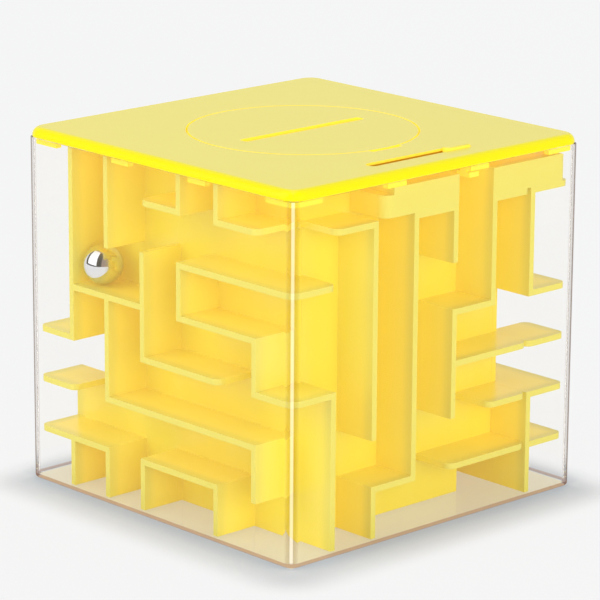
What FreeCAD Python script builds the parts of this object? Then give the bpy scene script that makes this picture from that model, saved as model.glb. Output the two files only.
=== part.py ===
"""Ball maze coin cube: clear case, yellow maze core, lid with a coin disc and an edge latch.

Frame: origin at the centre of the case's underside, +Z up. -Y is the face that the ball
rests behind, and +X the face below the latch. Millimetres.
"""
import FreeCAD
import Part
import Sketcher
import os
from FreeCAD import Rotation, Vector
from math import pi

doc = FreeCAD.newDocument("maze_cube")

# ---------------------------------------------------------------- driving dimensions
SIZES = (
    # clear case
    ("case_width", 90.0),
    ("case_height", 82.0),
    ("case_wall", 1.2),
    ("case_floor", 0.9),
    ("case_corner", 2.6),
    ("case_foot_round", 0.8),
    # maze walls
    ("maze_wall", 1.4),
    ("lane_pitch", 12.43),
    ("top_row_space", 8.4),
    ("case_gap", 0.8),
    ("core_top_gap", 0.3),
    ("shelf_end_round", 1.9),
    ("seam_gap", 0.05),
    # floor of the coin box
    ("floor_edge_gap", 0.15),
    ("floor_rib_offset", 15.0),
    # ball
    ("ball_play", 1.19),
    ("ball_headroom", 0.15),
    ("ball_gap", 0.1),
    ("ball_front_gap", 1.0),
    # blocks in the top row of the right-hand maze
    ("keeper_top_gap", 0.2),
    ("keeper_hook_gap", 7.4),
    ("keeper_round", 2.4),
    ("keeper_lip", 1.3),
    ("keeper_slot", 2.9),
    ("keeper_track", 4.8),
    ("keeper_track_height", 1.9),
    ("keeper_end_gap", 0.4),
    ("keeper_end_wall", 6.5),
    ("keeper_step_length", 2.7),
    ("keeper_step_drop", 1.6),
    ("goal_end_gap", 0.9),
    ("goal_top_gap", 0.5),
    ("goal_round", 2.0),
    # lid
    ("lid_gap", 0.1),
    ("lid_overhang", 0.25),
    ("lid_corner", 4.4),
    ("lid_thickness", 2.3),
    ("lid_round", 1.9),
    ("lid_underside_round", 0.3),
    ("tab_gap", 0.3),
    ("tab_height", 1.6),
    ("tab_thickness", 1.5),
    ("tab_length", 5.8),
    ("tab_shift", 0.5),
    ("corner_tab_length", 8.2),
    ("lane_relief", 1.3),
    # coin disc and its retainer
    ("disc_gap", 0.35),
    ("disc_flange", 1.2),
    ("disc_ledge_width", 2.1),
    ("hub_gap", 0.2),
    ("running_gap", 0.1),
    ("coin_slot_length", 37.0),
    ("coin_slot_width", 2.4),
    ("coin_slot_round", 0.5),
    ("nail_notch_length", 9.2),
    ("nail_notch_width", 0.9),
    ("nail_notch_depth", 0.7),
    ("retainer_overlap", 1.75),
    ("retainer_thickness", 1.5),
    ("disc_screw_inset", 6.0),
    # liner under the lid
    ("liner_gap", 0.35),
    ("liner_head_gap", 0.5),
    ("liner_plate", 1.2),
    ("liner_rim", 1.5),
    ("liner_disc_gap", 2.4),
    ("liner_corner", 2.0),
    ("liner_slot_gap", 1.0),
    ("liner_slot_round", 1.0),
    ("liner_boss_radius", 2.6),
    ("liner_screw_inset", 3.7),
    # latch slider in the lid's edge
    ("latch_slot_length", 31.5),
    ("latch_slot_width", 3.0),
    ("latch_slot_centre", 0.75),
    ("latch_slot_round", 1.35),
    ("knob_length", 7.6),
    ("knob_rise", 0.6),
    ("knob_gap", 0.2),
    ("knob_edge_round", 0.4),
    ("foot_width", 5.2),
    ("foot_length", 10.0),
    ("foot_thickness", 1.0),
    ("foot_gap", 0.15),
    ("hook_neck", 2.0),
    ("hook_width", 4.0),
    ("hook_length", 3.0),
    ("hook_offset", 3.4),
    ("hook_toe", 1.2),
    ("hook_play", 0.25),
    ("strip_thickness", 0.8),
    ("strip_edge_gap", 0.5),
    ("strip_land", 5.2),
    ("strip_slot_gap", 0.3),
    # self-tapping screws
    ("screw_radius", 1.0),
    ("screw_head_radius", 1.8),
    ("screw_head_height", 0.9),
    ("screw_point", 0.8),
    ("screw_hole_gap", 0.1),
    ("pilot_skin", 0.8),
    ("pilot_spare", 0.2),
)
LANES = 7               # lanes across each face, counting both corner lanes
ROWS = 7                # rows of lanes from the case floor to the lid, the top one lower
MID_LINE = LANES / 2    # the middle of a face, counted in grid lines

sizes = doc.addObject("Spreadsheet::Sheet", "Sizes")
for number, (alias, value) in enumerate(SIZES, start=1):
    sizes.set(f"A{number}", alias)
    sizes.set(f"B{number}", str(value))
    sizes.setAlias(f"B{number}", alias)
doc.recompute()

# ---------------------------------------------------------------- derived dimensions
LAYOUT = (
    # case and core, measured from the middle of the cube
    ("case_half", "Sizes.case_width / 2"),
    ("inner_half", "case_half - Sizes.case_wall"),
    ("inner_corner", "Sizes.case_corner - Sizes.case_wall"),
    ("reach", "inner_half - Sizes.case_gap"),
    ("half_wall", "Sizes.maze_wall / 2"),
    ("core_half", f"Sizes.lane_pitch * {MID_LINE - 1} + half_wall"),
    ("core_inner", "core_half - Sizes.maze_wall"),
    ("side_half", "core_inner - Sizes.seam_gap"),
    ("lane_depth", "reach - core_inner"),
    ("core_top", "Sizes.case_height - Sizes.core_top_gap"),
    ("top_shelf", "Sizes.case_height - Sizes.top_row_space"),
    ("row_pitch", f"(top_shelf - Sizes.case_floor) / {ROWS - 1}"),
    ("row_clear", "row_pitch - Sizes.maze_wall"),
    ("first_shelf_base", "Sizes.case_floor + row_clear"),
    ("tunnel_side", f"Sizes.lane_pitch * {5 - MID_LINE}"),
    # ball, resting on a shelf of the front maze against the left end rib
    ("top_row_clear", "Sizes.top_row_space + Sizes.lid_gap + Sizes.lane_relief"),
    ("lane_clear", "min(inner_half - core_half; row_clear)"),
    ("ball_size", "min(lane_clear - Sizes.ball_play; top_row_clear - Sizes.ball_headroom)"),
    ("ball_radius", "ball_size / 2"),
    ("ball_left", f"Sizes.lane_pitch * {1 - MID_LINE} + half_wall + Sizes.ball_gap + ball_radius"),
    ("ball_front", "inner_half - Sizes.ball_front_gap - ball_radius"),
    ("ball_up", "Sizes.case_floor + row_pitch * 4 + Sizes.ball_gap + ball_radius"),
    # lid levels and outlines
    ("lid_half", "case_half + Sizes.lid_overhang"),
    ("lid_base", "Sizes.case_height + Sizes.lid_gap"),
    ("lid_top", "lid_base + Sizes.lid_thickness"),
    ("tab_base", "lid_base - Sizes.tab_height"),
    ("tab_reach", "inner_half - Sizes.tab_gap"),
    ("tab_inner", "tab_reach - Sizes.tab_thickness"),
    ("tab_centre", "Sizes.lane_pitch + Sizes.tab_shift"),
    ("liner_half", "core_inner - Sizes.liner_gap"),
    ("liner_screw_offset", "liner_half - Sizes.liner_screw_inset"),
    ("retainer_radius", "liner_half - Sizes.liner_rim - Sizes.liner_disc_gap"),
    ("ledge_radius", "retainer_radius - Sizes.retainer_overlap"),
    ("hub_radius", "ledge_radius - Sizes.hub_gap"),
    ("disc_radius", "ledge_radius + Sizes.disc_ledge_width"),
    ("disc_well_radius", "disc_radius + Sizes.disc_gap"),
    ("disc_seat", "lid_top - Sizes.disc_flange"),
    ("disc_well_base", "disc_seat - Sizes.running_gap"),
    ("hub_base", "lid_base - Sizes.running_gap"),
    ("retainer_base", "hub_base - Sizes.retainer_thickness"),
    ("liner_tray_base", "retainer_base - Sizes.screw_head_height - Sizes.liner_head_gap"),
    ("liner_base", "liner_tray_base - Sizes.liner_plate"),
    ("liner_depth", "lid_base - liner_base"),
    ("disc_screw_radius", "retainer_radius - Sizes.disc_screw_inset"),
    ("screw_hole_radius", "Sizes.screw_radius + Sizes.screw_hole_gap"),
    ("pilot_end", "lid_top - Sizes.pilot_skin"),
    ("screw_tip", "pilot_end - Sizes.pilot_spare"),
    # latch: its middle line is half-way between the core and the lid's tabs
    ("latch_line", "(core_half + tab_inner) / 2"),
    ("latch_half_width", "Sizes.latch_slot_width / 2"),
    ("latch_half_length", "Sizes.latch_slot_length / 2"),
    ("knob_half_width", "latch_half_width - Sizes.knob_gap"),
    ("knob_half_length", "Sizes.knob_length / 2"),
    ("knob_travel", "Sizes.latch_slot_length - Sizes.knob_length - 2 * Sizes.knob_gap"),
    ("knob_place", "Sizes.latch_slot_centre + knob_travel / 2"),
    ("foot_base", "lid_base + Sizes.running_gap"),
    ("foot_top", "foot_base + Sizes.foot_thickness"),
    ("foot_well_depth", "Sizes.foot_thickness + 2 * Sizes.running_gap"),
    ("foot_well_half_width", "Sizes.foot_width / 2 + Sizes.foot_gap"),
    ("foot_well_half_length", "(knob_travel + Sizes.foot_length) / 2 + Sizes.foot_gap"),
    ("hook_half_length", "Sizes.hook_length / 2"),
    ("hook_place", "knob_place + Sizes.hook_offset"),
    ("strip_base", "lid_base - Sizes.strip_thickness"),
    ("strip_half_width", "tab_inner - latch_line - Sizes.strip_edge_gap"),
    ("strip_half_length", "foot_well_half_length + Sizes.strip_land"),
    ("strip_screw_place", "foot_well_half_length + Sizes.strip_land / 2"),
    ("strip_slot_half_width", "Sizes.hook_neck / 2 + Sizes.strip_slot_gap"),
    ("strip_slot_centre", "Sizes.latch_slot_centre + Sizes.hook_offset"),
    ("strip_slot_half_length", "knob_travel / 2 + hook_half_length + Sizes.strip_slot_gap"),
    ("relief_end", "strip_half_length + Sizes.strip_slot_gap"),
    # blocks in the top row: the keeper's track holds the hook over its whole travel
    ("block_back", "core_half + Sizes.seam_gap"),
    ("keeper_end", "hook_place - hook_half_length - Sizes.keeper_hook_gap"),
    ("keeper_track_end", "hook_place - knob_travel - hook_half_length - Sizes.keeper_end_gap"),
    ("keeper_start", "keeper_track_end - Sizes.keeper_end_wall"),
    ("keeper_top", "tab_base - Sizes.keeper_top_gap"),
    ("keeper_lip_base", "keeper_top - Sizes.keeper_lip"),
    ("keeper_track_base", "keeper_lip_base - Sizes.keeper_track_height"),
    ("toe_top", "keeper_lip_base - Sizes.hook_play"),
    ("toe_base", "toe_top - Sizes.hook_toe"),
    ("keeper_step_end", "keeper_start + Sizes.keeper_step_length"),
    ("goal_start", "tunnel_side - half_wall"),
    ("goal_end", "reach - Sizes.goal_end_gap"),
    ("goal_top", "tab_base - Sizes.goal_top_gap"),
)
layout = doc.addObject("Spreadsheet::Sheet", "Layout")
for number, (alias, formula) in enumerate(LAYOUT, start=1):
    layout.set(f"A{number}", alias)
    layout.set(f"B{number}", "=" + formula)
    layout.setAlias(f"B{number}", alias)
    doc.recompute()

# ---------------------------------------------------------------- maze plan
# Grid lines 1 to 6 stand between the seven lanes of a face, and 0 and 7 are the case
# walls. Row lines 1 to 6 lie between the rows; 0 is the case floor and 7 the core's top.
# A rib is (grid line, from row line, to row line), a shelf (row line, from, to grid line),
# counted from the left as one looks at that face from outside the cube.
FRONT_RIBS = (
    (1, 0, 1), (1, 3, 7), (2, 0, 1), (2, 2, 4), (2, 5, 7), (3, 0, 1), (3, 3, 5),
    (4, 4, 5), (4, 6, 7), (5, 0, 1), (5, 6, 7), (6, 1, 2), (6, 3, 4),
)
FRONT_SHELVES = (
    (1, 0, 2), (1, 3, 5), (2, 0, 1), (2, 2, 6), (3, 0, 1), (3, 3, 5), (3, 6, 7),
    (4, 1, 3), (4, 4, 6), (5, 4, 7), (6, 3, 4), (6, 5, 6),
)
RIGHT_RIBS = ((2, 0, 1), (2, 2, 6), (3, 1, 6), (4, 2, 4), (4, 5, 6), (5, 4, 6))
RIGHT_SHELVES = (
    (1, 2, 3), (1, 4, 6), (2, 5, 6), (3, 4, 6), (4, 4, 5), (6, 1, 2), (6, 3, 4), (6, 5, 6),
)
BACK_RIBS = (
    (1, 5, 6), (2, 0, 1), (2, 2, 4), (3, 1, 2), (3, 4, 6), (4, 2, 3), (4, 5, 7), (5, 0, 2),
    (5, 3, 5), (6, 1, 3), (6, 5, 6),
)
BACK_SHELVES = (
    (1, 0, 1), (1, 3, 4), (1, 6, 7), (2, 0, 3), (2, 4, 5), (3, 0, 1), (3, 2, 3), (3, 4, 6),
    (4, 0, 1), (4, 3, 4), (4, 6, 7), (5, 1, 2), (5, 4, 6), (6, 0, 1), (6, 2, 4),
)
LEFT_RIBS = ((2, 0, 2), (2, 4, 6), (3, 1, 3), (3, 5, 6), (4, 0, 1), (4, 3, 5), (5, 1, 2))
LEFT_SHELVES = (
    (1, 2, 3), (2, 3, 5), (3, 2, 3), (3, 4, 6), (4, 2, 3), (5, 1, 2), (5, 3, 4), (6, 2, 3),
    (6, 4, 6),
)
# The front and back panels carry on past the core's corners to the case as wings, which
# are the outermost ribs of the faces beside them: (side, from row line, to row line).
FRONT_WINGS = (("left", 1, 2), ("left", 5, 6), ("right", 0, 3))
BACK_WINGS = (("left", 0, 2), ("left", 4, 6), ("right", 2, 4))


def grid_place(line, wall_side, end_half):
    """Place across a face of one side of a wall on a grid line, kept within the panel."""
    if abs(line - MID_LINE) >= MID_LINE - (end_half != "reach"):
        return f"Layout.{end_half} * {1 if line > MID_LINE else -1}"
    return f"Sizes.lane_pitch * {line - MID_LINE} + Layout.half_wall * {wall_side}"


def row_place(line, wall_side):
    """Height of one side of a wall on a row line."""
    if line == 0:
        return "Sizes.case_floor"
    if line == ROWS:
        return "Layout.core_top"
    return f"Sizes.case_floor + Layout.row_pitch * {line} + Layout.half_wall * {wall_side - 1}"


# ---------------------------------------------------------------- modelling helpers
def new_body(name):
    body = doc.addObject("PartDesign::Body", name)
    body.Label = name
    return body


def add_sketch(body, name, plane, offset="0"):
    """Sketch parallel to one of the body's origin planes, moved along the plane's normal."""
    sketch = body.newObject("Sketcher::SketchObject", name)
    support = next(item for item in body.Origin.OriginFeatures if item.Role == plane)
    sketch.AttachmentSupport = [(support, "")]
    sketch.MapMode = "FlatFace"
    sketch.setExpression(".AttachmentOffset.Base.z", offset)
    return sketch


def worth(sketch, formula):
    return float(sketch.evalExpression(formula))


def bind(sketch, constraint, label, formula):
    """Add a dimension whose value follows a formula."""
    number = sketch.addConstraint(constraint)
    sketch.renameConstraint(number, label)
    sketch.setExpression(f"Constraints.{label}", formula)


def pin_point(sketch, geometry, end, label, across=None, up=None):
    """Dimension a point from the sketch's origin, across it, up it, or both."""
    if across is not None:
        place = worth(sketch, across)
        bind(sketch, Sketcher.Constraint("DistanceX", -1, 1, geometry, end, place), label + "_x", across)
    if up is not None:
        place = worth(sketch, up)
        bind(sketch, Sketcher.Constraint("DistanceY", -1, 1, geometry, end, place), label + "_y", up)


def draw_outline(sketch, label, points):
    """Closed outline of straight runs through points given as (across, up) formulas."""
    spots = [Vector(worth(sketch, across), worth(sketch, up), 0) for across, up in points]
    first = sketch.GeometryCount
    for start, end in zip(spots, spots[1:] + spots[:1]):
        sketch.addGeometry(Part.LineSegment(start, end))
    for number, (across, up) in enumerate(points):
        before = first + (number - 1) % len(points)
        sketch.addConstraint(Sketcher.Constraint("Coincident", before, 2, first + number, 1))
        pin_point(sketch, first + number, 1, f"{label}_{number}", across, up)


def draw_rectangle(sketch, label, left, right, low, high):
    draw_outline(sketch, label, [(left, low), (right, low), (right, high), (left, high)])


def draw_round_rectangle(sketch, label, half_across, half_up, radius, across="0", up="0"):
    """Rectangle with rounded corners about the point (across, up)."""
    wide = worth(sketch, half_across)
    tall = worth(sketch, half_up)
    corner = worth(sketch, radius)
    middle = Vector(worth(sketch, across), worth(sketch, up), 0)
    first = sketch.GeometryCount
    for quarter in range(4):
        along, out = (wide, tall) if quarter % 2 == 0 else (tall, wide)
        turn = Rotation(Vector(0, 0, 1), 90 * quarter)
        start = middle + turn.multVec(Vector(corner - along, -out, 0))
        end = middle + turn.multVec(Vector(along - corner, -out, 0))
        hub = middle + turn.multVec(Vector(along - corner, corner - out, 0))
        sketch.addGeometry(Part.LineSegment(start, end))
        circle = Part.Circle(hub, Vector(0, 0, 1), corner)
        sketch.addGeometry(Part.ArcOfCircle(circle, (quarter - 1) * pi / 2, quarter * pi / 2))
    for quarter in range(4):
        line = first + 2 * quarter
        arc = line + 1
        next_line = first + (2 * quarter + 2) % 8
        sketch.addConstraint(Sketcher.Constraint("Tangent", line, 2, arc, 1))
        sketch.addConstraint(Sketcher.Constraint("Tangent", arc, 2, next_line, 1))
        sketch.addConstraint(Sketcher.Constraint(("Horizontal", "Vertical")[quarter % 2], line))
        if quarter:
            sketch.addConstraint(Sketcher.Constraint("Equal", first + 1, arc))
    bind(sketch, Sketcher.Constraint("Radius", first + 1, corner), label + "_radius", radius)
    pin_point(sketch, first, 1, label + "_low", up=f"({up}) - ({half_up})")
    pin_point(sketch, first + 2, 1, label + "_right", across=f"({across}) + ({half_across})")
    pin_point(sketch, first + 4, 1, label + "_high", up=f"({up}) + ({half_up})")
    pin_point(sketch, first + 6, 1, label + "_left", across=f"({across}) - ({half_across})")


def draw_circle(sketch, label, radius, across="0", up="0"):
    middle = Vector(worth(sketch, across), worth(sketch, up), 0)
    size = worth(sketch, radius)
    number = sketch.addGeometry(Part.Circle(middle, Vector(0, 0, 1), size))
    bind(sketch, Sketcher.Constraint("Radius", number, size), label + "_radius", radius)
    pin_point(sketch, number, 3, label, across, up)


def pad(body, name, sketch, length, reverse=False):
    feature = body.newObject("PartDesign::Pad", name)
    feature.Profile = sketch
    feature.setExpression("Length", length)
    feature.Reversed = reverse
    return feature


def pocket(body, name, sketch, depth, reverse=False):
    """Cut against the sketch's normal, or along it where reversed; it has to remove material."""
    doc.recompute()
    before = body.Shape.Volume
    feature = body.newObject("PartDesign::Pocket", name)
    feature.Profile = sketch
    feature.setExpression("Length", depth)
    feature.Reversed = reverse
    doc.recompute()
    if body.Shape.Volume >= before:
        raise RuntimeError(f"{name} cuts nothing")
    return feature


def round_edges(body, name, radius, wanted):
    """Round those edges of the body so far that the test picks."""
    doc.recompute()
    base = body.Tip
    picked = [f"Edge{i}" for i, edge in enumerate(base.Shape.Edges, start=1) if wanted(edge)]
    feature = body.newObject("PartDesign::Fillet", name)
    feature.Base = (base, picked)
    feature.setExpression("Radius", radius)
    return feature


def value_of(alias):
    sheet = layout if alias in dict(LAYOUT) else sizes
    return float(getattr(sheet, alias))


def same(first, second):
    return abs(first - second) < 0.001


def lies_at(edge, axis, place):
    """True where both ends of the edge have this coordinate."""
    return all(same(getattr(vertex.Point, axis), place) for vertex in edge.Vertexes)


def runs_along(edge, axis):
    """True for an edge whose ends differ along this axis only."""
    span = edge.Vertexes[-1].Point - edge.Vertexes[0].Point
    return same(abs(getattr(span, axis)), span.Length) and span.Length > 0.001


# ---------------------------------------------------------------- clear case
def make_clear_case():
    body = new_body("clear_case")
    outline = add_sketch(body, "case_outline", "XY_Plane")
    draw_round_rectangle(outline, "outside", "Layout.case_half", "Layout.case_half", "Sizes.case_corner")
    pad(body, "case_block", outline, "Sizes.case_height")
    round_edges(body, "case_foot", "Sizes.case_foot_round", lambda edge: lies_at(edge, "z", 0))
    mouth = add_sketch(body, "case_mouth", "XY_Plane", "Sizes.case_height")
    draw_round_rectangle(mouth, "inside", "Layout.inner_half", "Layout.inner_half", "Layout.inner_corner")
    pocket(body, "case_hollow", mouth, "Sizes.case_height - Sizes.case_floor")
    return body


# ---------------------------------------------------------------- maze panels
def draw_walls(sketch, ribs, shelves, end_half):
    """Rectangles of a face's ribs or shelves, each half a wall past the lines it ends on."""
    for line, low, high in ribs:
        draw_rectangle(
            sketch, f"rib_{line}_{low}", grid_place(line, -1, "reach"), grid_place(line, 1, "reach"),
            row_place(low, -1), row_place(high, 1),
        )
    for line, left, right in shelves:
        draw_rectangle(
            sketch, f"shelf_{line}_{left}", grid_place(left, -1, end_half),
            grid_place(right, 1, end_half), row_place(line, -1), row_place(line, 1),
        )


def make_panel(name, turn, ribs, shelves, plate_half, end_half, wings=(), tunnel_side=0):
    """One wall of the core with its ribs and shelves, built facing -Y and turned about Z."""
    body = new_body(name)
    plate = add_sketch(body, name + "_plate", "XZ_Plane", "Layout.core_inner")
    draw_rectangle(
        plate, "plate", f"-Layout.{plate_half}", f"Layout.{plate_half}", "Sizes.case_floor",
        "Layout.core_top",
    )
    pad(body, name + "_wall", plate, "Sizes.maze_wall")
    if tunnel_side:
        mouth = add_sketch(body, name + "_tunnel", "XZ_Plane", "Layout.core_half")
        draw_rectangle(
            mouth, "tunnel", f"(Layout.tunnel_side + Layout.half_wall) * {tunnel_side}",
            f"Layout.core_half * {tunnel_side}", "0", "Layout.first_shelf_base",
        )
        pocket(body, name + "_tunnel_mouth", mouth, "Sizes.maze_wall")
    if wings:
        wing_sketch = add_sketch(body, name + "_wings", "XZ_Plane", "Layout.core_inner")
        for side, low, high in wings:
            sign = 1 if side == "right" else -1
            draw_rectangle(
                wing_sketch, f"wing_{side}_{low}", f"Layout.core_inner * {sign}", f"Layout.reach * {sign}",
                row_place(low, -1), row_place(high, 1),
            )
        pad(body, name + "_wing_walls", wing_sketch, "Sizes.maze_wall")
    rib_sketch = add_sketch(body, name + "_ribs", "XZ_Plane", "Layout.core_inner")
    draw_walls(rib_sketch, ribs, (), end_half)
    pad(body, name + "_rib_walls", rib_sketch, "Layout.lane_depth")
    shelf_sketch = add_sketch(body, name + "_shelves", "XZ_Plane", "Layout.core_inner")
    draw_walls(shelf_sketch, (), shelves, end_half)
    pad(body, name + "_shelf_walls", shelf_sketch, "Layout.lane_depth")
    reach = value_of("reach")
    wall = value_of("maze_wall")

    def is_shelf_end(edge):
        at_case = lies_at(edge, "y", -reach) or lies_at(edge, "x", reach) or lies_at(edge, "x", -reach)
        return at_case and same(edge.Length, wall) and runs_along(edge, "z")

    round_edges(body, name + "_shelf_ends", "Sizes.shelf_end_round", is_shelf_end)
    body.Placement.Rotation = Rotation(Vector(0, 0, 1), turn)
    return body


# ---------------------------------------------------------------- floor of the coin box
def make_money_floor():
    """Plate one maze row up, on two ribs and the rail that guides the ball below it."""
    body = new_body("money_floor")
    plate = add_sketch(body, "floor_outline", "XY_Plane", "Layout.first_shelf_base")
    half = "Layout.core_inner - Sizes.floor_edge_gap"
    draw_rectangle(plate, "plate", f"-({half})", half, f"-({half})", half)
    pad(body, "floor_plate", plate, "Sizes.maze_wall")
    legs = add_sketch(body, "floor_legs_plan", "XY_Plane", "Sizes.case_floor")
    rail_front = "Layout.tunnel_side - Layout.half_wall"
    rail_back = "Layout.tunnel_side + Layout.half_wall"
    rib_inner = "Sizes.floor_rib_offset - Layout.half_wall"
    rib_outer = "Sizes.floor_rib_offset + Layout.half_wall"
    front = f"-({half})"
    draw_outline(
        legs, "legs",
        [
            (f"-({half})", rail_front), (f"-({rib_outer})", rail_front), (f"-({rib_outer})", front),
            (f"-({rib_inner})", front), (f"-({rib_inner})", rail_front), (rib_inner, rail_front),
            (rib_inner, front), (rib_outer, front), (rib_outer, rail_front), (half, rail_front),
            (half, rail_back), (f"-({half})", rail_back),
        ],
    )
    pad(body, "floor_legs", legs, "Layout.row_clear")
    return body


# ---------------------------------------------------------------- blocks in the top row
def make_block(name, start, end, top):
    """Block that fills a lane of the right-hand maze from the core to the case."""
    body = new_body(name)
    plan = add_sketch(body, name + "_plan", "XY_Plane", "Layout.top_shelf")
    draw_rectangle(plan, "plan", "Layout.block_back", "Layout.reach", start, end)
    pad(body, name + "_block", plan, f"{top} - Layout.top_shelf")
    return body


def make_latch_keeper():
    """Block with a T-shaped track, open at its far end, that the latch's hook runs into."""
    body = make_block("latch_keeper", "Layout.keeper_start", "Layout.keeper_end", "Layout.keeper_top")
    reach = value_of("reach")
    start = value_of("keeper_start")
    round_edges(
        body, "keeper_corner", "Sizes.keeper_round",
        lambda edge: runs_along(edge, "z") and lies_at(edge, "x", reach) and lies_at(edge, "y", start),
    )
    step = add_sketch(body, "keeper_step_plan", "XY_Plane", "Layout.keeper_top")
    draw_rectangle(
        step, "step", "Layout.core_half", "Layout.reach", "Layout.keeper_start", "Layout.keeper_step_end",
    )
    pocket(body, "keeper_step", step, "Sizes.keeper_step_drop")
    track = add_sketch(body, "keeper_track", "XZ_Plane", "-Layout.keeper_end")
    line = "Layout.latch_line"
    lip = "Layout.keeper_lip_base"
    deck = "Layout.keeper_track_base"
    draw_outline(
        track, "track",
        [
            (f"{line} - Sizes.keeper_track / 2", deck), (f"{line} + Sizes.keeper_track / 2", deck),
            (f"{line} + Sizes.keeper_track / 2", lip), (f"{line} + Sizes.keeper_slot / 2", lip),
            (f"{line} + Sizes.keeper_slot / 2", "Layout.keeper_top"),
            (f"{line} - Sizes.keeper_slot / 2", "Layout.keeper_top"),
            (f"{line} - Sizes.keeper_slot / 2", lip), (f"{line} - Sizes.keeper_track / 2", lip),
        ],
    )
    pocket(body, "keeper_t_slot", track, "Layout.keeper_end - Layout.keeper_track_end", reverse=True)
    return body


def make_goal_block():
    """Block in the far corner, rounded at its far end."""
    body = make_block("goal_block", "Layout.goal_start", "Layout.goal_end", "Layout.goal_top")
    reach = value_of("reach")
    end = value_of("goal_end")
    top = value_of("goal_top")
    round_edges(
        body, "goal_end_edges", "Sizes.goal_round",
        lambda edge: lies_at(edge, "y", end) and (lies_at(edge, "x", reach) or lies_at(edge, "z", top)),
    )
    return body


# ---------------------------------------------------------------- ball
def make_maze_ball():
    ball = doc.addObject("Part::Sphere", "maze_ball")
    ball.Label = "maze_ball"
    ball.setExpression("Radius", "Layout.ball_radius")
    ball.setExpression("Placement.Base.x", "Layout.ball_left")
    ball.setExpression("Placement.Base.y", "-Layout.ball_front")
    ball.setExpression("Placement.Base.z", "Layout.ball_up")
    return ball


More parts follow.
